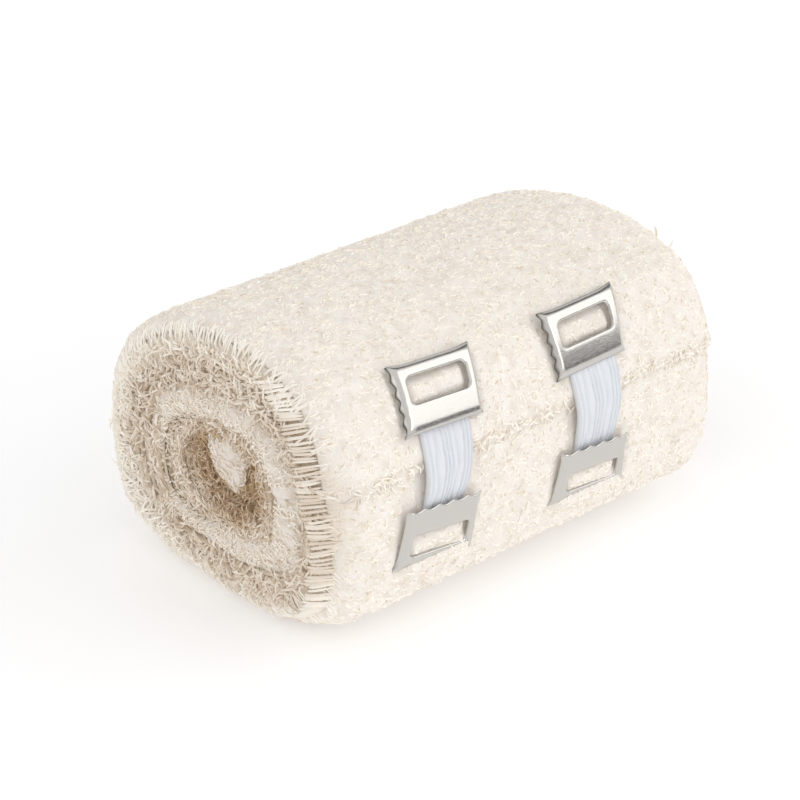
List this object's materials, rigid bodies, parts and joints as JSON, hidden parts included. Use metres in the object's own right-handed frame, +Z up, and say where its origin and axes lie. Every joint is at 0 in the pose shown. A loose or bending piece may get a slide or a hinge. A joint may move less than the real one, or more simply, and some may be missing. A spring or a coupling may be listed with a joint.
{
  "type": "crepe bandage roll",
  "caption": "Relaxed cotton crepe bandage wound into a flattened roll, its loose end held by two ribbed elastic clips with stamped metal end plates.",
  "frame": {"origin": "middle of the flat spot on which the roll rests, on the surface", "axes": "+X along the roll's axis, away from the end with the frayed rim, +Z up, -Y towards the side with the clips"},
  "size_m": [0.0786, 0.0571, 0.0429],
  "materials": {
    "crepe": "matt nubby cotton crepe, cream with beige flecks",
    "plate": "bright stamped nickel-plated steel",
    "elastic": "white ribbed elastic webbing"
  },
  "bodies": {
    "root": {"bandage_roll": "crepe", "clip_left_upper_plate": "plate", "clip_left_lower_plate": "plate", "clip_left_elastic": "elastic", "clip_right_upper_plate": "plate", "clip_right_lower_plate": "plate", "clip_right_elastic": "elastic"}
  },
  "joints": []
}
